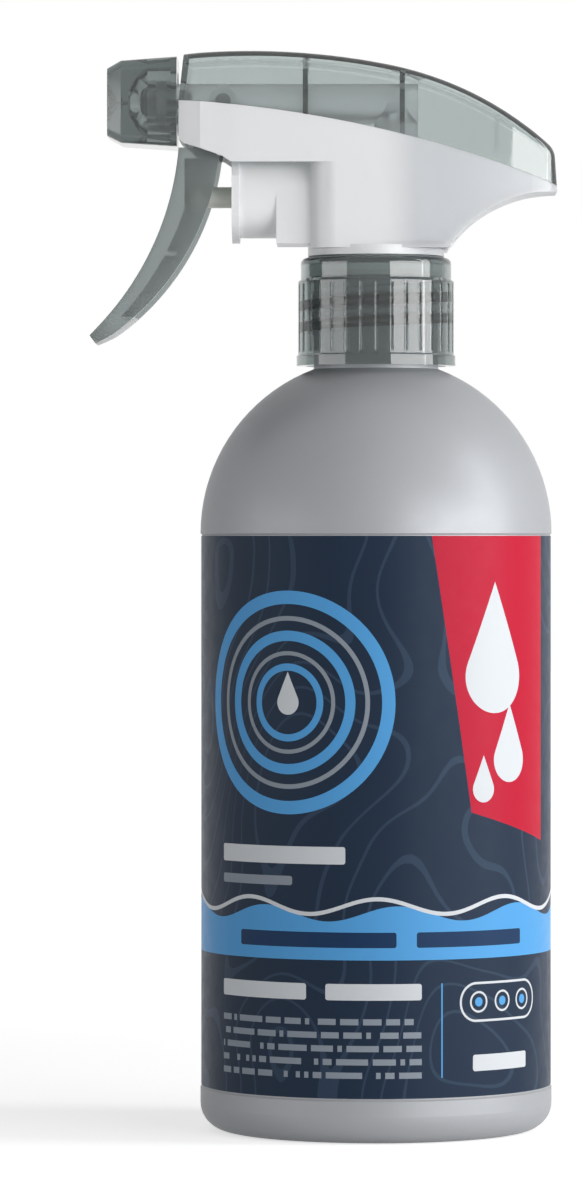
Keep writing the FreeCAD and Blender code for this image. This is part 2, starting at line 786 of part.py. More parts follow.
pump_body = new_body("pump_body")
body_plan = head_solid(pump_body, "body", [
    ("head_front", "barrel_z", "left", "seam_radius"),
    ("head_front", "skirt_low + skirt_corner"),
    ("head_front + skirt_corner", "skirt_low"),
    ("skirt_rear_x", "skirt_rear_z"),
    ("skirt_flat_x", "skirt_flat"),
    ("column_front", "skirt_flat"),
    ("column_front", "collar_high"),
    ("column_rear", "collar_high"),
    ("tail_x", "seam_tail - tail_edge", "right", "throat_radius"),
    ("tail_x", "seam_tail"),
], "0")
round_edges(pump_body, "column_rounding", body_plan, "column_round", corner_at("column_front"))
take_out(pump_body, "body_shell", body_core)
upright(pump_body, "Additive", "collar", "collar_radius", "collar_low", "collar_high + weld", "0")
upright(pump_body, "Additive", "socket", "socket_radius", "collar_low", "plug_top + socket_roof", "0")
upright(pump_body, "Additive", "riser", "riser_radius", "plug_top", "barrel_z")
for name, radius, front, rear, height in (
    ("barrel", "barrel_radius", "barrel_front", "riser_x + riser_radius", "barrel_z"),
    ("bearing", "bearing_radius", "bearing_front", "bearing_front + bearing_thick", "barrel_z"),
    ("cylinder", "cylinder_radius", "cylinder_front", "column_front + weld", "cylinder_z"),
    ("cylinder_rim", "rim_radius", "cylinder_front", "cylinder_front + rim_thick", "cylinder_z"),
    ("port_pipe", "port_radius + port_wall", "column_front", "riser_x", "cylinder_z"),
):
    level(pump_body, "Additive", name, radius, front, rear, height)
block_corner = ("column_front + weld", "rim_half", "cylinder_z")
block(pump_body, "Additive", "cylinder_block", ("block_front", "-rim_half", "block_low"), block_corner)
for side, low, high in both_sides("rim_half", "rim_radius + cut_over"):
    flat_low = ("cylinder_front - cut_over", low, "cylinder_z - rim_radius - cut_over")
    flat_high = ("cylinder_front + rim_thick", high, "skirt_flat - rim_flat_drop")
    block(pump_body, "Subtractive", "rim_flat_" + side, flat_low, flat_high)
for side, low, high in both_sides("post_half", "post_outer"):
    post_top = ("post_rear", high, "post_high")
    block(pump_body, "Additive", "post_" + side, ("post_front", low, "post_low"), post_top)
    across(pump_body, "Additive", "pivot_boss_" + side, "boss_radius", low, high)
for side, low, high in both_sides("post_half", "head_half - head_wall + weld"):
    foot_top = ("post_rear", high, "post_foot")
    block(pump_body, "Additive", "post_foot_" + side, ("post_front", low, "post_low"), foot_top)
pivot_end = "(post_outer + post_room)"
across(pump_body, "Subtractive", "pivot_hole", "pin_radius + pin_gap", "-" + pivot_end, pivot_end)
socket_ends = ("collar_low - cut_over", "plug_top + plug_gap")
upright(pump_body, "Subtractive", "plug_socket", "plug_radius + plug_gap", *socket_ends, "0")
upright(pump_body, "Subtractive", "riser_hole", "riser_bore", "plug_top - cut_over", "barrel_z")
for name, radius, front, rear, height in (
    ("cylinder_hole", "cylinder_bore", "cylinder_front - cut_over", "cylinder_end", "cylinder_z"),
    ("port", "port_radius", "cylinder_end - cut_over", "riser_x", "cylinder_z"),
    ("barrel_hole", "barrel_bore", "barrel_front - cut_over", "riser_x", "barrel_z"),
):
    level(pump_body, "Subtractive", name, radius, front, rear, height)

# Shroud: hollow shell with two cross ribs over the barrel and two small clips in the tail
shroud_core = new_body("shroud_core")
head_solid(shroud_core, "inside", [
    ("head_front + head_wall", "seam_tail - skirt_room"),
    ("head_front + head_wall", "barrel_z"),
    ("head_front + head_wall + shroud_lean", "shroud_front - head_wall"),
    ("crest_x", "crest_z - head_wall", "right", "crest_radius - head_wall"),
    ("back_x - back_wall_x", "back_z - back_wall_z", "right", "smooth"),
    ("back_end_x - head_wall", "back_end_z - back_end_wall", "right", "smooth"),
    ("tail_x - head_wall", "seam_tail - skirt_room"),
], "head_wall")

shroud = new_body("shroud")
shroud_plan = head_solid(shroud, "shroud", [
    ("head_front", "barrel_z + seam_gap", "left", "seam_radius"),
    ("head_front + shroud_lean", "shroud_front"),
    ("crest_x", "crest_z", "right", "crest_radius"),
    ("back_x", "back_z", "right", "smooth"),
    ("back_end_x", "back_end_z", "right", "smooth"),
    ("tail_x", "seam_tail + seam_gap"),
], "0")


def roof_edge(edge):
    """Picks the two long edges between the roof and the sides, above the joint line."""
    middle = edge.valueAt((edge.FirstParameter + edge.LastParameter) / 2)
    box = edge.BoundBox
    off_centre = abs(middle.y) > number("head_half") / 4
    lengthwise = box.XLength > box.ZLength / 3
    return off_centre and lengthwise and middle.z > seam_height(middle.x) + number("shroud_round")


round_edges(shroud, "roof_rounding", shroud_plan, "shroud_round", roof_edge)
take_out(shroud, "shroud_shell", shroud_core)
for side, rib_x in (("front", "rib_front_x"), ("rear", "rib_rear_x")):
    rib_front = rib_x + " - rib_thick / 2"
    rib_rear = rib_x + " + rib_thick / 2"
    rib_top = (rib_rear, "rib_half", "crest_z - rib_roof")
    block(shroud, "Additive", "rib_" + side, (rib_front, "-rib_half", "rib_root"), rib_top)
    tongue_top = (rib_rear, "tongue_half", "rib_root")
    block(shroud, "Additive", "rib_tongue_" + side, (rib_front, "-tongue_half", "rib_low"), tongue_top)
for side, low, high in both_sides("clip_wall - clip_depth", "clip_wall + weld"):
    clip_corner = ("clip_x - clip_thick / 2", low, "clip_low")
    clip_top = ("clip_x + clip_thick / 2", high, "clip_low + clip_height")
    block(shroud, "Additive", "clip_" + side, clip_corner, clip_top)
way_end = "rib_rear_x + rib_rear_room"
level(shroud, "Subtractive", "barrel_hole_front", "barrel_way", "head_front - cut_over", way_end, "barrel_z")
slot_corner = ("head_front - cut_over", "-barrel_way", "rib_low - cut_over")
block(shroud, "Subtractive", "barrel_slot", slot_corner, (way_end, "barrel_way", "barrel_z"))

# Trigger: curved lever, open towards the pump, with two pivot stubs
trigger = new_body("trigger")
lever = extruded(trigger, "lever", "XZ", [[
    ("pivot_x - arm_radius", "pivot_z"),
    ("trigger_top_x", "trigger_top"),
    ("trigger_front_x", "trigger_top"),
    ("tip_front_x", "tip_front_z", "right", "trigger_front_radius"),
    ("tip_low_x", "tip_low_z"),
    ("tip_rear_x", "tip_rear_z"),
    ("trigger_rear_x", "trigger_rear_z", "left", "trigger_rear_radius"),
    ("pivot_x + arm_radius", "pivot_z"),
    ("pivot_x", "pivot_z + arm_radius", "left", "arm_radius"),
]], "Pad", "2 * trigger_half")
extruded(trigger, "channel", "XZ", [[
    ("pad_x", "channel_top"),
    ("pad_x", "pad_low"),
    ("channel_end_x", "channel_end_z", "right", "channel_radius"),
    ("channel_rear", "channel_end_z"),
    ("channel_rear", "channel_high"),
    ("trigger_top_x - channel_slope", "channel_high"),
    ("trigger_top_x - channel_slope", "trigger_top + weld"),
    ("trigger_top_x + cut_over", "channel_top"),
]], "Pocket", "2 * trigger_inner")
extruded(trigger, "tip_corners", "YZ", [
    [
        (sign + "(trigger_half + cut_over)", "tip_low_z - cut_over"),
        (sign + "(trigger_half + cut_over)", "tip_low_z + tip_round"),
        (sign + "trigger_half", "tip_low_z + tip_round"),
        (sign + "(trigger_half - tip_round)", "tip_low_z", turn, "tip_round"),
        (sign + "(trigger_half - tip_round)", "tip_low_z - cut_over"),
    ]
    for sign, turn in (("", "right"), ("-", "left"))
], "Pocket")
rib_end = ("cross_rib_x + cross_rib_length", "pin_root", "cross_rib_z + cross_rib_thick")
block(trigger, "Additive", "cross_rib", ("cross_rib_x", "-pin_root", "cross_rib_z"), rib_end)
for side, low, high in both_sides("pin_root", "pin_end"):
    across(trigger, "Additive", "pivot_pin_" + side, "pin_radius", low, high)

# Piston: rod with a rounded end, and a lipped head with a cup for the spring
piston = new_body("piston")
place(piston, ("0", "0", "cylinder_z"))
turned(piston, "piston_turned", "H_Axis", [
    ("rod_tip", "0", "left", "rod_radius"),
    ("cup_floor", "0"),
    ("cup_floor", "cup_radius"),
    ("head_end", "cup_radius"),
    ("head_end", "head_radius"),
    ("head_end - lip_length", "head_radius"),
    ("head_end - lip_length", "head_neck"),
    ("head_front_x + lip_length", "head_neck"),
    ("head_front_x + lip_length", "head_radius"),
    ("head_front_x", "head_radius"),
    ("head_front_x", "rod_radius"),
    ("rod_tip + rod_radius", "rod_radius"),
])

# Return spring
return_spring = new_body("return_spring")
place(return_spring, ("0", "0", "cylinder_z"))
coil_sketch = new_sketch(return_spring, "wire_outline", "XZ")
draw_circle(coil_sketch, "spring_start", "spring_radius", "spring_wire")
coil = return_spring.newObject("PartDesign::AdditiveHelix", "coil")
coil.Profile = coil_sketch
coil.ReferenceAxis = (coil_sketch, ["H_Axis"])
coil.Mode = "height-turns-angle"
bind(coil, Height="spring_end - spring_start", Turns="spring_turns")

# Nozzle: tapered square block, dished in front, with a domed cavity that turns on the barrel
nozzle = new_body("nozzle")
place(nozzle, ("0", "0", "barrel_z"))


def nozzle_section(name, at, half, corner):
    sketch = new_sketch(nozzle, name, "YZ", at)
    straight = "(%s - %s)" % (half, corner)
    draw(sketch, [
        ("-" + straight, "-" + half, "left", corner),
        (straight, "-" + half),
        (half, "-" + straight, "left", corner),
        (half, straight),
        (straight, half, "left", corner),
        ("-" + straight, half),
        ("-" + half, straight, "left", corner),
        ("-" + half, "-" + straight),
    ])
    return sketch

nozzle_block = nozzle.newObject("PartDesign::AdditiveLoft", "nozzle_block")
nozzle_block.Profile = nozzle_section("section_rear", "nozzle_rear", "nozzle_half", "nozzle_corner")
nozzle_block.Sections = [
    nozzle_section("section_turn", "nozzle_slope", "nozzle_slope_half", "nozzle_corner"),
    nozzle_section("section_front", "nozzle_front", "nozzle_front_half", "nozzle_corner"),
]
nozzle_block.Ruled = True
turned(nozzle, "dish", "H_Axis", [
    ("nozzle_front - cut_over", "0"),
    ("dish_floor", "0"),
    ("dish_floor", "dish_floor_radius"),
    ("nozzle_front", "dish_radius"),
    ("nozzle_front - cut_over", "dish_radius"),
], "Groove")
turned(nozzle, "cavity", "H_Axis", [
    ("nozzle_rear + cut_over", "0"),
    ("nozzle_rear + cut_over", "lip_radius"),
    ("lip_front", "lip_radius"),
    ("lip_front", "cavity_radius"),
    ("cavity_turn", "cavity_radius"),
    ("dome_x - sqrt(dome_radius^2 - hub_outer^2)", "hub_outer", "left", "dome_radius"),
    ("hub_rear", "hub_outer"),
    ("hub_rear", "hub_inner"),
    ("hub_floor", "hub_inner"),
    ("hub_floor", "0"),
], "Groove")
level(nozzle, "Subtractive", "orifice_hole", "orifice", "dish_floor - cut_over", "hub_floor + cut_over", "0")

# Swirl insert in the mouth of the barrel
swirl_insert = new_body("swirl_insert")
place(swirl_insert, ("0", "0", "barrel_z"))
turned(swirl_insert, "insert_turned", "H_Axis", [
    ("insert_front", "0"),
    ("insert_rear", "0"),
    ("insert_rear", "insert_radius"),
    ("groove_rear", "insert_radius"),
    ("groove_rear", "insert_groove"),
    ("groove_front", "insert_groove"),
    ("groove_front", "insert_radius"),
    ("insert_front", "insert_radius"),
])

# Outlet valve in the barrel
outlet_valve = new_body("outlet_valve")
place(outlet_valve, ("0", "0", "barrel_z"))
turned(outlet_valve, "valve_turned", "H_Axis", [
    ("valve_front", "0"),
    ("valve_rear", "0"),
    ("valve_rear", "valve_radius"),
    ("valve_rear - valve_disc", "valve_radius"),
    ("valve_rear - valve_disc", "valve_stem"),
    ("valve_front + valve_disc", "valve_stem"),
    ("valve_front + valve_disc", "valve_radius"),
    ("valve_front", "valve_radius"),
])

doc.recompute()

NODES = [
    bottle,
    wrap_label,
    closure_cap,
    neck_gasket,
    tube_retainer,
    dip_tube,
    inlet_ball,
    pump_body,
    shroud,
    trigger,
    piston,
    return_spring,
    outlet_valve,
    swirl_insert,
    nozzle,
]

for item in doc.Objects:
    bad = [state for state in item.State if state in ("Invalid", "Error")]
    if bad:
        raise RuntimeError("%s is %s" % (item.Name, bad))
for node in NODES:
    if node.Shape.isNull() or not node.Shape.isValid():
        raise RuntimeError("%s has no valid shape" % node.Label)
    if len(node.Shape.Solids) != 1:
        raise RuntimeError("%s has %d solids" % (node.Label, len(node.Shape.Solids)))

os.makedirs("parts", exist_ok=True)
for node in NODES:
    node.Shape.exportStep("parts/%s.step" % node.Label)
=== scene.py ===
import math
from collections import namedtuple

import bmesh
import bpy
from mathutils import Matrix, Vector


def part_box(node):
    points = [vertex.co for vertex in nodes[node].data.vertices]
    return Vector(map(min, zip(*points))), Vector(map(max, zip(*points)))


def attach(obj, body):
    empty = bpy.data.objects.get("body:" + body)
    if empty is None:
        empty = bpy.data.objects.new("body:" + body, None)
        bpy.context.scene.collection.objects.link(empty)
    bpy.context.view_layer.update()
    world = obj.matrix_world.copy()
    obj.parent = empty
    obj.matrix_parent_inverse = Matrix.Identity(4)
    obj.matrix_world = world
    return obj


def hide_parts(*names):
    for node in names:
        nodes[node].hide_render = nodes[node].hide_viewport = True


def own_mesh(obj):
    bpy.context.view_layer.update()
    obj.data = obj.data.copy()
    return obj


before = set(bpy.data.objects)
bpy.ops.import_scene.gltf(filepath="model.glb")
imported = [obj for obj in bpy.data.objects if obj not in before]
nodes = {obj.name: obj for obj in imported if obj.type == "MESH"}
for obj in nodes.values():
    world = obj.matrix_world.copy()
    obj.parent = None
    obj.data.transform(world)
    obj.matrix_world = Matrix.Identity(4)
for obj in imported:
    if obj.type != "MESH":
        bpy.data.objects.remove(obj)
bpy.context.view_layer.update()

MM = 0.001
FULL_TURN = 2 * math.pi
ORIGIN = (0, 0, 0)
MERGE = 1e-6
WHITE = (1.0, 1.0, 1.0, 1.0)

# Colour sockets of the Mix node, by number because its number sockets have the same names
MIX_AMOUNT = 0
MIX_UNDER = 6
MIX_OVER = 7
MIX_RESULT = 2

# Part of a noise's range that most of its values lie in
NOISE_MIDDLE = (0.3, 0.7)

# Photograph frame in pixels, with the bottle's axis at the camera's height, and the camera in metres
PHOTO_WIDTH = 583
PHOTO_HEIGHT = 1199
FOCUS_PX = 6000.0
AXIS_PX = (376.0, 535.2)
CAMERA_BACK = 1.2
CAMERA_HEIGHT = 0.1186
CAMERA_CLIP = 0.01
SENSOR = 36.0

# Lamps: degrees to the right of the camera, height, width by height in metres, and power
Lamp = namedtuple("Lamp", "name side height size watts")
LAMPS = (
    Lamp("front_softbox", 49.0, 0.20, (1.05, 0.32), 7.8),
    Lamp("side_strip", 82.0, 0.42, (0.30, 0.90), 5.6),
    Lamp("left_strip", -68.0, 0.20, (0.85, 0.16), 1.4),
)
LAMP_DISTANCE = 1.0
AIM_HEIGHT = 0.14

# Surround: its fill light, and a floor whose glow grows with the distance from the bottle
FILL_LIGHT = 0.30
FLOOR_HALF = 4.0
FLOOR_PAPER = (0.8, 0.8, 0.8, 1.0)
FLOOR_REACH = (0.15, 0.70)
FLOOR_GLOW = (0.57, 0.88)

# Smoke plastic: the colour of its depth, and how far tint and roughness vary over the skin
SMOKE_DEPTH = (0.40, 0.46, 0.455, 1.0)
SMOKE_CLOUD = 0.04
SMOKE_ROUGH = 0.02

# Cross ribs under the cover's roof, as places along X, and the painted shade laid on the roof over them
COVER_RIBS = (-14.0 * MM, 5.2 * MM)
RIB_HALF = 0.5 * MM
RIB_SHADE = 0.62

# Grip grooves of the cap: half width as a share of the pitch, ends from the cap's foot and top, and the
# painted light in them
GROOVE_COUNT = 32
GROOVE_HALF = 0.16
GROOVE_FOOT = 2.75 * MM
GROOVE_HEAD = 5.25 * MM
GROOVE_PAINTED_LIGHT = 1.5

# Zones of the milky body, from where each one starts to change to where it ends, and how clear they are
SKIRT_SIDE = (7.5 * MM, 9.5 * MM)
SKIRT_CLEAR = (0.06, 0.28)
SKIRT_END = (8.0 * MM, 16.0 * MM)
TAIL_RUN = (0.0, 16.0 * MM)
TAIL_CLEAR = 0.74
BARREL_FOOT = (199.0 * MM, 202.0 * MM)
BARREL_SIDE = (4.6 * MM, 5.6 * MM)

# Label print, in millimetres: u round the bottle from the middle of the front, v up from the floor
CONTOUR_COUNT = 21.0
CONTOUR_SHARE = 0.11
FIELD_LEFT = 30.0
FIELD_RIGHT = 42.0
FIELD_FOOT = 70.0
FIELD_LEFT_LEAN = -0.16
FIELD_FOOT_LEAN = -0.28
RIPPLE_CENTRE = (-18.0, 86.0)
WAVE_COUNT = 8
WAVE_SIZE = 1.5
BAND_FOOT = 36.0
CREST_LINE = 0.8
BAR_CORNER = 0.5
HAIR_CORNER = 0.1
RINGS_HEIGHT = 27.5

# Rows of small print: how far one row is shifted against the next, and the share of gaps
ROW_SHIFT = 13.7
ROW_GAPS = 0.2

# Screw threads: root radius, crest radius and height at the label side, and the ridge's section and turn
NECK_RIDGE = (12.35 * MM, 13.1 * MM, 163.1 * MM)
CAP_RIDGE = (14.05 * MM, 13.2 * MM, 161.0 * MM)
THREAD_PITCH = 4.23 * MM
THREAD_FOOT = 1.0 * MM
THREAD_TOP = 0.45 * MM
THREAD_BEFORE = math.radians(200)
THREAD_AFTER = math.radians(440)
THREAD_STEPS = 96
LABEL_SIDE = -math.pi / 2

# Return spring: wire radius and sides, and its turns with their steps
SPRING_WIRE = 0.4 * MM
SPRING_SIDES = 12
SPRING_TURNS = 5
SPRING_STEPS = 24


def ink(red, green, blue):
    """Screen colour, 0 to 255, as the linear colour that a shader takes."""
    linear = []
    for part in (red, green, blue):
        c = part / 255.0
        linear.append(c / 12.92 if c <= 0.04045 else ((c + 0.055) / 1.055) ** 2.4)
    return (*linear, 1.0)


class Nodes:
    """Short calls that add nodes to an emptied node tree."""

    def __init__(self, tree):
        self.tree = tree
        tree.nodes.clear()

    def node(self, kind, **settings):
        made = self.tree.nodes.new(kind)
        for name, value in settings.items():
            setattr(made, name, value)
        return made

    def put(self, socket, value):
        """Links another node's output to a socket, or sets the socket to a constant."""
        if isinstance(value, bpy.types.NodeSocket):
            self.tree.links.new(value, socket)
        else:
            socket.default_value = value

    def math(self, operation, *values):
        made = self.node("ShaderNodeMath", operation=operation)
        for socket, value in zip(made.inputs, values):
            self.put(socket, value)
        return made.outputs[0]

    def vector(self, operation, *values):
        made = self.node("ShaderNodeVectorMath", operation=operation)
        for socket, value in zip(made.inputs, values):
            self.put(socket, value)
        return made.outputs["Value"] if operation == "LENGTH" else made.outputs["Vector"]

    def ramp(self, value, start, end, low, high, kind="SMOOTHSTEP"):
        """Goes from low to high while the value goes from start to end."""
        made = self.node("ShaderNodeMapRange", interpolation_type=kind)
        for socket, given in zip(made.inputs, (value, start, end, low, high)):
            self.put(socket, given)
        return made.outputs[0]

    def seen(self):
        """1 for rays whose hit the viewer sees: straight, mirrored or through clear plastic."""
        path = self.node("ShaderNodeLightPath").outputs
        straight = self.math("MAXIMUM", path["Is Camera Ray"], path["Is Glossy Ray"])
        return self.math("MAXIMUM", straight, path["Is Transmission Ray"])


class Finish(Nodes):
    """A material with one Principled shader."""

    def __init__(self, name, **sockets):
        self.material = bpy.data.materials.new(name)
        self.material.use_nodes = True
        super().__init__(self.material.node_tree)
        self.output = self.node("ShaderNodeOutputMaterial")
        self.shader = self.node("ShaderNodeBsdfPrincipled")
        self.put(self.output.inputs["Surface"], self.shader.outputs[0])
        self.place = self.node("ShaderNodeTexCoord").outputs["Object"]
        self.set(**sockets)

    def set(self, **sockets):
        for socket, value in sockets.items():
            self.put(self.shader.inputs[socket.replace("_", " ")], value)

    def axes(self):
        """Object coordinates as three numbers, in metres."""
        made = self.node("ShaderNodeSeparateXYZ")
        self.put(made.inputs[0], self.place)
        return tuple(made.outputs)

    def noise(self, scale, detail=2.0, stretch=None):
        spot = self.vector("MULTIPLY", self.place, stretch) if stretch else self.place
        made = self.node("ShaderNodeTexNoise")
        self.put(made.inputs["Vector"], spot)
        self.put(made.inputs["Scale"], scale)
        self.put(made.inputs["Detail"], detail)
        return made.outputs["Fac"]

    def span(self, noise, low, high):
        """Maps the middle of a noise on to a range."""
        return self.ramp(noise, *NOISE_MIDDLE, low, high, kind="LINEAR")

    def mix(self, amount, under, over):
        made = self.node("ShaderNodeMix", data_type="RGBA")
        for number, value in ((MIX_AMOUNT, amount), (MIX_UNDER, under), (MIX_OVER, over)):
            self.put(made.inputs[number], value)
        return made.outputs[MIX_RESULT]

    def bump(self, height, strength, distance, under=None):
        made = self.node("ShaderNodeBump")
        self.put(made.inputs["Strength"], strength)
        self.put(made.inputs["Distance"], distance)
        self.put(made.inputs["Height"], height)
        if under is not None:
            self.put(made.inputs["Normal"], under)
        return made.outputs["Normal"]

    def absorb(self, colour, density):
        made = self.node("ShaderNodeVolumeAbsorption")
        self.put(made.inputs["Color"], colour)
        self.put(made.inputs["Density"], density)
        self.put(self.output.inputs["Volume"], made.outputs[0])


def wear(finish, *names):
    """Gives CAD nodes their finish."""
    for name in names:
        for slot in nodes[name].material_slots:
            slot.material = finish.material


# Finishes
def bottle_plastic():
    """Satin silver-grey blown wall: faint cloudiness, an orange-peel skin and soft waves."""
    f = Finish("bottle_plastic", IOR=1.5, Metallic=0.2, Specular_IOR_Level=0.1)
    f.set(Specular_Tint=(0.45, 0.45, 0.47, 1.0))
    cloud = f.noise(scale=38.0, detail=3.0)
    f.set(Base_Color=f.mix(cloud, ink(158, 160, 164), ink(166, 168, 171)))
    f.set(Roughness=f.span(f.noise(scale=420.0, detail=3.0), low=0.40, high=0.46))
    wave = f.bump(f.noise(scale=30.0, detail=1.0), strength=0.06, distance=2.0 * MM)
    skin = f.noise(scale=1500.0)
    f.set(Normal=f.bump(skin, strength=0.07, distance=0.2 * MM, under=wave))
    return f


def smoke_plastic(name, tint, clear, rough, depth=0.0, painted_shading=None):
    """Clear grey moulded plastic: a tinted skin, and a body that darkens with depth."""
    f = Finish(name, IOR=1.55, Transmission_Weight=clear)
    light = tuple(c + SMOKE_CLOUD for c in tint)
    shade = f.mix(f.noise(scale=60.0), (*tint, 1.0), (*light, 1.0))
    # Painted shading laid over the tint, where given: darker over the cover's ribs, lighter in the cap's
    # grooves
    if painted_shading:
        shade = painted_shading(f, shade, tint)
    f.set(Base_Color=shade)
    f.set(Roughness=f.span(f.noise(scale=300.0), low=rough - SMOKE_ROUGH, high=rough + SMOKE_ROUGH))
    if depth:
        f.absorb(SMOKE_DEPTH, depth)
    return f


def painted_rib_shade(f, shade, tint):
    """Painted shade: a darker roof where the cross ribs stand under it, for the darker look of the ribs
    seen edge-on through the plastic.
    """
    x, _, _ = f.axes()
    dark = tuple(c * RIB_SHADE for c in tint)
    for middle in COVER_RIBS:
        off = f.math("ABSOLUTE", f.math("SUBTRACT", x, middle))
        shade = f.mix(f.math("LESS_THAN", off, RIB_HALF), shade, (*dark, 1.0))
    return shade


def painted_groove_light(f, shade, tint):
    """Painted light: a lighter cap wall in its grip grooves, where it is thinner, for the extra light
    that comes through there.
    """
    x, y, z = f.axes()
    low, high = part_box("closure_cap")
    step = f.math("MULTIPLY_ADD", f.math("ARCTAN2", y, x), GROOVE_COUNT / FULL_TURN, 0.5)
    off = f.math("ABSOLUTE", f.math("SUBTRACT", f.math("FRACT", step), 0.5))
    above = f.math("GREATER_THAN", z, low.z + GROOVE_FOOT)
    below = f.math("LESS_THAN", z, high.z - GROOVE_HEAD)
    groove = f.math("MULTIPLY", f.math("LESS_THAN", off, GROOVE_HALF), f.math("MULTIPLY", above, below))
    light = tuple(c * GROOVE_PAINTED_LIGHT for c in tint)
    return f.mix(groove, shade, (*light, 1.0))


def milky_plastic():
    """Natural white moulding: thick parts stay white, the skirt, tail and barrel let light through."""
    f = Finish("milky_plastic", IOR=1.49)
    x, y, z = f.axes()
    side = f.math("ABSOLUTE", y)
    skirt = f.math("MULTIPLY", f.ramp(side, *SKIRT_SIDE, *SKIRT_CLEAR), f.ramp(x, *SKIRT_END, 1.0, 0.0))
    tail = f.ramp(x, *TAIL_RUN, 0.0, 1.0)
    barrel = f.math("MULTIPLY", f.ramp(z, *BARREL_FOOT, 0.0, 1.0), f.ramp(side, *BARREL_SIDE, 1.0, 0.0))
    thin = f.math("MULTIPLY_ADD", tail, TAIL_CLEAR, skirt)
    f.set(Transmission_Weight=f.math("MINIMUM", f.math("MAXIMUM", thin, barrel), 1.0))
    white = f.mix(f.noise(scale=55.0), ink(246, 247, 249), ink(251, 252, 253))
    # The tail's greyer colour is painted shade, for the thin see-through tail looking darker
    f.set(Base_Color=f.mix(tail, white, ink(236, 238, 241)))
    f.set(Roughness=f.span(f.noise(scale=120.0), low=0.31, high=0.37))
    f.set(Normal=f.bump(f.noise(scale=500.0), strength=0.03, distance=0.3 * MM))
    return f


def plain_plastic(name, dark, light, rough):
    """Solid moulded plastic with a slightly cloudy colour."""
    f = Finish(name, IOR=1.5)
    f.set(Base_Color=f.mix(f.noise(scale=120.0, detail=3.0), dark, light))
    f.set(Roughness=f.span(f.noise(scale=500.0), low=rough - 0.05, high=rough + 0.05))
    f.set(Normal=f.bump(f.noise(scale=900.0), strength=0.05, distance=0.2 * MM))
    return f


def spring_steel():
    """Drawn stainless wire with faint lengthwise streaks."""
    f = Finish("spring_steel", Metallic=1.0)
    streak = f.noise(scale=400.0, detail=3.0, stretch=(0.2, 1.0, 1.0))
    f.set(Base_Color=f.mix(streak, ink(176, 178, 180), ink(206, 207, 208)))
    f.set(Roughness=f.span(streak, low=0.18, high=0.32))
    return f


class Print:
    """Flat printed shapes on the label: u runs round the bottle and v up it, in millimetres."""

    def __init__(self, finish, radius):
        self.f = finish
        x, y, z = finish.axes()
        turn = finish.math("ARCTAN2", x, finish.math("MULTIPLY", y, -1.0))
        self.u = finish.math("MULTIPLY", turn, radius / MM)
        self.v = finish.math("MULTIPLY", z, 1.0 / MM)
        join = finish.node("ShaderNodeCombineXYZ")
        finish.put(join.inputs[0], self.u)
        finish.put(join.inputs[1], self.v)
        self.spot = join.outputs[0]

    def panel(self, low, high, corner):
        """Rounded rectangle from its lower left to its upper right corner."""
        f = self.f
        middle = ((low[0] + high[0]) / 2, (low[1] + high[1]) / 2, 0)
        core = ((high[0] - low[0]) / 2 - corner, (high[1] - low[1]) / 2 - corner, 1)
        off = f.vector("ABSOLUTE", f.vector("SUBTRACT", self.spot, middle))
        past = f.vector("MAXIMUM", f.vector("SUBTRACT", off, core), ORIGIN)
        return f.math("LESS_THAN", f.vector("LENGTH", past), corner)

    def outline(self, low, high, corner, line):
        """Edge line of a rounded rectangle."""
        hole = self.panel((low[0] + line, low[1] + line), (high[0] - line, high[1] - line), corner - line)
        return self.f.math("SUBTRACT", self.panel(low, high, corner), hole)

    def away(self, centre):
        return self.f.vector("LENGTH", self.f.vector("SUBTRACT", self.spot, (*centre, 0)))

    def disc(self, centre, radius):
        return self.f.math("LESS_THAN", self.away(centre), radius)

    def ring(self, centre, radius, line):
        off = self.f.math("SUBTRACT", self.away(centre), radius)
        return self.f.math("LESS_THAN", self.f.math("ABSOLUTE", off), line / 2)

    def drop(self, centre, radius, tip):
        """Water drop: a disc with a straight-sided point above it."""
        f = self.f
        slope = math.tan(math.asin(radius / tip))
        up = f.math("SUBTRACT", self.v, centre[1])
        side = f.math("ABSOLUTE", f.math("SUBTRACT", self.u, centre[0]))
        room = f.math("MULTIPLY", f.math("SUBTRACT", tip, up), slope)
        inside = f.math("LESS_THAN", side, room)
        above = f.math("GREATER_THAN", up, radius ** 2 / tip)
        return f.math("MAXIMUM", self.disc(centre, radius), f.math("MULTIPLY", inside, above))

    def between(self, value, low, high):
        """Band of u or v between two limits, which may themselves run along a line or a wave."""
        f = self.f
        return f.math("MULTIPLY", f.math("GREATER_THAN", value, low), f.math("LESS_THAN", value, high))

    def wave(self, height, size, length, start):
        f = self.f
        turn = f.math("MULTIPLY_ADD", self.u, FULL_TURN / length, start)
        return f.math("MULTIPLY_ADD", f.math("SINE", turn), size, height)

    def rows(self, low, high, pitch, share, word):
        """Rows of short bars, as a stand-in for small print."""
        f = self.f
        step = f.math("DIVIDE", f.math("SUBTRACT", self.v, low[1]), pitch)
        line = f.math("LESS_THAN", f.math("FRACT", step), share)
        along = f.math("MULTIPLY_ADD", f.math("FLOOR", step), ROW_SHIFT, f.math("DIVIDE", self.u, word))
        dice = f.node("ShaderNodeTexWhiteNoise", noise_dimensions="1D")
        f.put(dice.inputs["W"], f.math("FLOOR", along))
        bar = f.math("MULTIPLY", line, f.math("GREATER_THAN", dice.outputs["Value"], ROW_GAPS))
        return f.math("MULTIPLY", bar, self.panel(low, high, HAIR_CORNER))


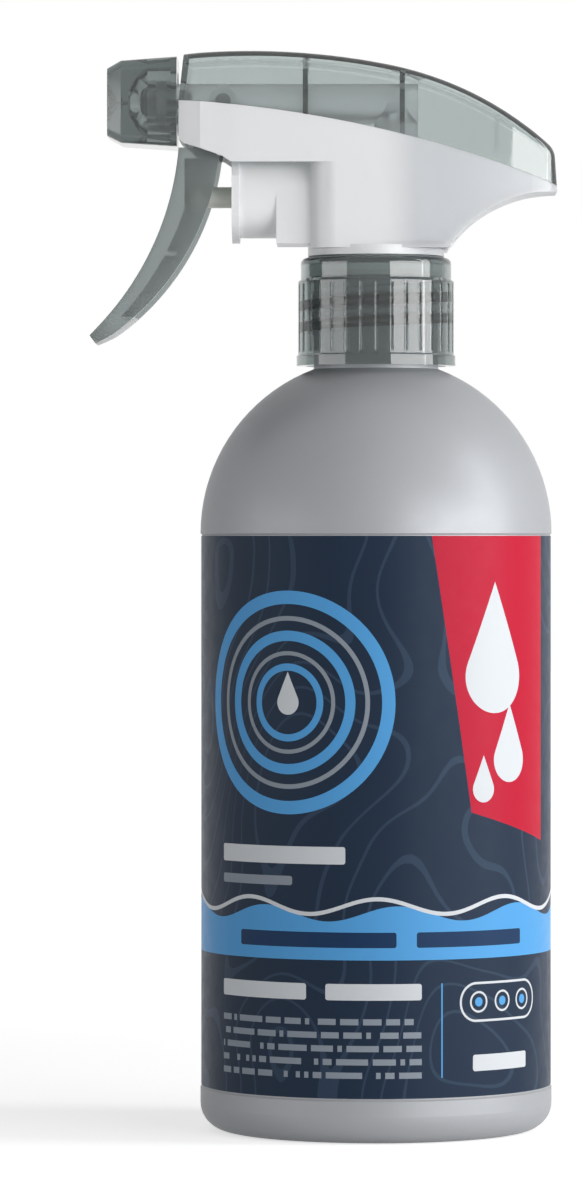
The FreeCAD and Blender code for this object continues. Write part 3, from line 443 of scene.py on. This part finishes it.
def label_film():
    """Printed film: slate ground with contour lines, ripples, a crimson field and a water band."""
    f = Finish("label_film", IOR=1.5, Specular_IOR_Level=0.1, Specular_Tint=(0.78, 0.89, 1.0, 1.0))
    low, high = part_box("wrap_label")
    radius = (high.x - low.x) / 2
    p = Print(f, radius)
    crimson = ink(176, 22, 48)
    blue = ink(82, 152, 208)
    deep_blue = ink(28, 52, 84)
    pale = ink(200, 204, 208)
    grey = ink(134, 142, 152)

    ground = f.mix(f.noise(scale=26.0), ink(29, 41, 58), ink(35, 48, 66))
    relief = f.noise(scale=22.0, detail=1.0, stretch=(1.0, 1.0, 0.8))
    level = f.math("FRACT", f.math("MULTIPLY", relief, CONTOUR_COUNT))
    shade = f.mix(f.math("LESS_THAN", level, CONTOUR_SHARE), ground, ink(47, 61, 80))

    left_edge = f.math("MULTIPLY_ADD", p.v, FIELD_LEFT_LEAN, FIELD_LEFT)
    lower_edge = f.math("MULTIPLY_ADD", p.u, FIELD_FOOT_LEAN, FIELD_FOOT)
    across = p.between(p.u, left_edge, FIELD_RIGHT)
    field = f.math("MULTIPLY", across, f.math("GREATER_THAN", p.v, lower_edge))
    shade = f.mix(field, shade, crimson)
    # Drops: centre, radius of the round end, and height of the tip over the centre
    for centre, round_end, tip in (
        ((25.5, 91.0), 7.2, 18.5),
        ((29.6, 74.6), 4.4, 11.0),
        ((22.6, 69.0), 2.6, 6.6),
    ):
        shade = f.mix(p.drop(centre, round_end, tip), shade, pale)

    # Ripples: radius, width of the line, and colour
    for ripple, line, colour in (
        (20.5, 2.6, blue),
        (16.4, 0.9, grey),
        (13.0, 2.0, blue),
        (9.6, 0.8, grey),
        (6.9, 1.4, blue),
    ):
        shade = f.mix(p.ring(RIPPLE_CENTRE, ripple, line), shade, colour)
    shade = f.mix(p.drop(RIPPLE_CENTRE, radius=2.4, tip=6.0), shade, pale)

    wave_length = FULL_TURN * radius / MM / WAVE_COUNT
    crest = p.wave(height=45.0, size=WAVE_SIZE, length=wave_length, start=0.6)
    shade = f.mix(p.between(p.v, BAND_FOOT, crest), shade, blue)
    line_top = p.wave(height=46.8, size=WAVE_SIZE, length=wave_length, start=1.5)
    shade = f.mix(p.between(p.v, f.math("SUBTRACT", line_top, CREST_LINE), line_top), shade, pale)

    # Bars: lower left corner, upper right corner, and colour
    for corner, far_corner, colour in (
        ((-30.0, 38.4), (4.0, 41.4), deep_blue),
        ((8.0, 38.4), (33.0, 41.4), deep_blue),
        ((-36.0, 54.6), (-6.0, 58.0), pale),
        ((-36.0, 50.4), (-17.0, 52.2), grey),
        ((-36.0, 28.2), (-14.0, 31.4), pale),
        ((-10.0, 28.2), (9.0, 31.4), pale),
        ((20.0, 14.0), (35.0, 17.2), pale),
    ):
        shade = f.mix(p.panel(corner, far_corner, BAR_CORNER), shade, colour)
    shade = f.mix(p.rows((-36.0, 13.0), (9.0, 25.0), pitch=2.6, share=0.46, word=0.9), shade, grey)
    shade = f.mix(p.panel((13.0, 13.0), (13.3, 31.4), HAIR_CORNER), shade, blue)
    shade = f.mix(p.outline((17.0, 23.6), (38.0, 31.4), corner=3.8, line=0.45), shade, pale)
    for place in (21.4, 27.5, 33.6):
        shade = f.mix(p.ring((place, RINGS_HEIGHT), radius=1.9, line=0.4), shade, pale)
        shade = f.mix(p.disc((place, RINGS_HEIGHT), radius=0.9), shade, blue)

    f.set(Base_Color=shade)
    f.set(Roughness=f.span(f.noise(scale=350.0), low=0.36, high=0.44))
    film = f.bump(f.noise(scale=45.0, detail=1.0), strength=0.05, distance=1.0 * MM)
    f.set(Normal=f.bump(f.noise(scale=2200.0), strength=0.03, distance=0.1 * MM, under=film))
    return f


# Pieces that the scene adds
def piece(name, bm, finish, body):
    """Turns a bmesh into a smooth object that rides on a CAD body."""
    bmesh.ops.remove_doubles(bm, verts=bm.verts, dist=MERGE)
    bmesh.ops.recalc_face_normals(bm, faces=bm.faces)
    mesh = bpy.data.meshes.new(name)
    bm.to_mesh(mesh)
    bm.free()
    mesh.shade_smooth()
    mesh.materials.append(finish.material)
    made = bpy.data.objects.new(name, mesh)
    bpy.context.collection.objects.link(made)
    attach(made, body)
    return made


def screw_ridge(name, root, crest, front_z, finish, body, slot):
    """Helical thread ridge with sloped flanks, from its root radius to its crest radius."""
    bm = bmesh.new()
    section = [(root, -THREAD_FOOT), (crest, -THREAD_TOP), (crest, THREAD_TOP), (root, THREAD_FOOT)]
    low_z = front_z - THREAD_BEFORE / FULL_TURN * THREAD_PITCH
    corners = [bm.verts.new((radius, 0, low_z + lift)) for radius, lift in section]
    end = bm.faces.new(corners)
    start = Matrix.Rotation(LABEL_SIDE - THREAD_BEFORE, 3, "Z")
    bmesh.ops.rotate(bm, verts=corners, cent=ORIGIN, matrix=start)
    turn = THREAD_BEFORE + THREAD_AFTER
    bmesh.ops.spin(
        bm,
        geom=corners + list(end.edges) + [end],
        cent=ORIGIN,
        axis=(0, 0, 1),
        dvec=(0, 0, turn / FULL_TURN * THREAD_PITCH / THREAD_STEPS),
        angle=turn,
        steps=THREAD_STEPS,
    )
    piece(name, bm, finish, body)


def coil_spring(finish):
    """Return spring as a wire coil, in place of the CAD spring, which is hidden."""
    low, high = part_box("return_spring")
    radius = (high.y - low.y) / 2 - SPRING_WIRE
    axis_z = low.z + radius + SPRING_WIRE
    length = high.x - low.x - 2 * SPRING_WIRE
    steps = SPRING_TURNS * SPRING_STEPS
    bm = bmesh.new()
    wire = bmesh.ops.create_circle(bm, cap_ends=True, segments=SPRING_SIDES, radius=SPRING_WIRE)["verts"]
    bmesh.ops.rotate(bm, verts=wire, cent=ORIGIN, matrix=Matrix.Rotation(math.pi / 2, 3, "X"))
    bmesh.ops.translate(bm, verts=wire, vec=(low.x + SPRING_WIRE, 0, axis_z + radius))
    bmesh.ops.spin(
        bm,
        geom=list(bm.verts) + list(bm.edges) + list(bm.faces),
        cent=(0, 0, axis_z),
        axis=(1, 0, 0),
        dvec=(length / steps, 0, 0),
        angle=SPRING_TURNS * FULL_TURN,
        steps=steps,
    )
    made = piece("coil_spring", bm, finish, "sprayer")
    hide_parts("return_spring")
    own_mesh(made)


def dress():
    """Gives every piece its finish and adds the threads and the spring."""
    wall = bottle_plastic()
    steel = spring_steel()
    cover = smoke_plastic(
        "cover_smoke", (0.70, 0.745, 0.735), clear=0.96, rough=0.05, depth=170.0, painted_shading=painted_rib_shade
    )
    lever = smoke_plastic("lever_smoke", (0.31, 0.35, 0.345), clear=0.92, rough=0.3, depth=25.0)
    spout = smoke_plastic("nozzle_smoke", (0.40, 0.445, 0.44), clear=0.92, rough=0.06, depth=170.0)
    cap = smoke_plastic(
        "cap_smoke", (0.45, 0.50, 0.495), clear=0.97, rough=0.04, depth=240.0, painted_shading=painted_groove_light
    )
    # Near-black tint on the cap's own thread ridge: painted shade, for the dark bands the thick ridge
    # shows through the cap
    ridge = smoke_plastic("thread_smoke_painted_shade", (0.10, 0.125, 0.12), clear=0.6, rough=0.3)
    natural = plain_plastic("natural_plastic", ink(238, 241, 241), ink(246, 248, 247), rough=0.4)
    cream = plain_plastic("cream_plastic", ink(234, 235, 226), ink(242, 243, 235), rough=0.42)
    soft = plain_plastic("soft_white", ink(228, 228, 225), ink(236, 236, 233), rough=0.6)
    wear(wall, "bottle")
    wear(label_film(), "wrap_label")
    wear(cover, "shroud")
    wear(lever, "trigger")
    wear(spout, "nozzle")
    wear(cap, "closure_cap")
    wear(milky_plastic(), "pump_body")
    wear(natural, "tube_retainer", "dip_tube", "swirl_insert")
    wear(soft, "neck_gasket", "outlet_valve")
    wear(steel, "inlet_ball")
    wear(cream, "piston")
    screw_ridge("neck_thread", *NECK_RIDGE, wall, "bottle", "bottle_grey")
    screw_ridge("cap_thread", *CAP_RIDGE, ridge, "cap", "smoke")
    coil_spring(steel)


# Studio
def pale_floor():
    bm = bmesh.new()
    bmesh.ops.create_grid(bm, x_segments=2, y_segments=2, size=FLOOR_HALF)
    mesh = bpy.data.meshes.new("floor")
    bm.to_mesh(mesh)
    bm.free()
    floor = bpy.data.objects.new("floor", mesh)
    bpy.context.collection.objects.link(floor)
    material = bpy.data.materials.new("floor_paper")
    material.use_nodes = True
    n = Nodes(material.node_tree)
    paper = n.node("ShaderNodeBsdfDiffuse")
    n.put(paper.inputs["Color"], FLOOR_PAPER)
    reach = n.vector("LENGTH", n.node("ShaderNodeTexCoord").outputs["Object"])
    glow = n.node("ShaderNodeEmission")
    n.put(glow.inputs["Strength"], n.math("MULTIPLY", n.seen(), n.ramp(reach, *FLOOR_REACH, *FLOOR_GLOW)))
    both = n.node("ShaderNodeAddShader")
    n.put(both.inputs[0], paper.outputs[0])
    n.put(both.inputs[1], glow.outputs[0])
    n.put(n.node("ShaderNodeOutputMaterial").inputs["Surface"], both.outputs[0])
    mesh.materials.append(material)


def white_surround():
    world = bpy.data.worlds.new("surround")
    bpy.context.scene.world = world
    world.use_nodes = True
    n = Nodes(world.node_tree)
    sky = n.node("ShaderNodeBackground")
    n.put(sky.inputs["Color"], WHITE)
    n.put(sky.inputs["Strength"], n.ramp(n.seen(), 0.0, 1.0, FILL_LIGHT, 1.0))
    n.put(n.node("ShaderNodeOutputWorld").inputs["Surface"], sky.outputs[0])


def lamps():
    for lamp in LAMPS:
        data = bpy.data.lights.new(lamp.name, "AREA")
        data.shape = "RECTANGLE"
        data.size, data.size_y = lamp.size
        data.energy = lamp.watts
        made = bpy.data.objects.new(lamp.name, data)
        made.visible_transmission = False
        bpy.context.collection.objects.link(made)
        turn = math.radians(lamp.side)
        spot = Vector((math.sin(turn) * LAMP_DISTANCE, -math.cos(turn) * LAMP_DISTANCE, lamp.height))
        aim = Vector((0, 0, AIM_HEIGHT)) - spot
        made.matrix_world = Matrix.Translation(spot) @ aim.to_track_quat("-Z", "Y").to_matrix().to_4x4()


def camera():
    data = bpy.data.cameras.new("camera")
    data.sensor_fit = "AUTO"
    data.sensor_width = SENSOR
    data.lens = FOCUS_PX / PHOTO_HEIGHT * SENSOR
    data.shift_x = (PHOTO_WIDTH / 2 - AXIS_PX[0]) / PHOTO_HEIGHT
    data.shift_y = (AXIS_PX[1] - PHOTO_HEIGHT / 2) / PHOTO_HEIGHT
    data.clip_start = CAMERA_CLIP
    made = bpy.data.objects.new("camera", data)
    bpy.context.collection.objects.link(made)
    made.location = (0, -CAMERA_BACK, CAMERA_HEIGHT)
    made.rotation_euler = (math.pi / 2, 0, 0)
    bpy.context.scene.camera = made


dress()
pale_floor()
white_surround()
lamps()
camera()
bpy.context.scene.view_settings.view_transform = "Standard"
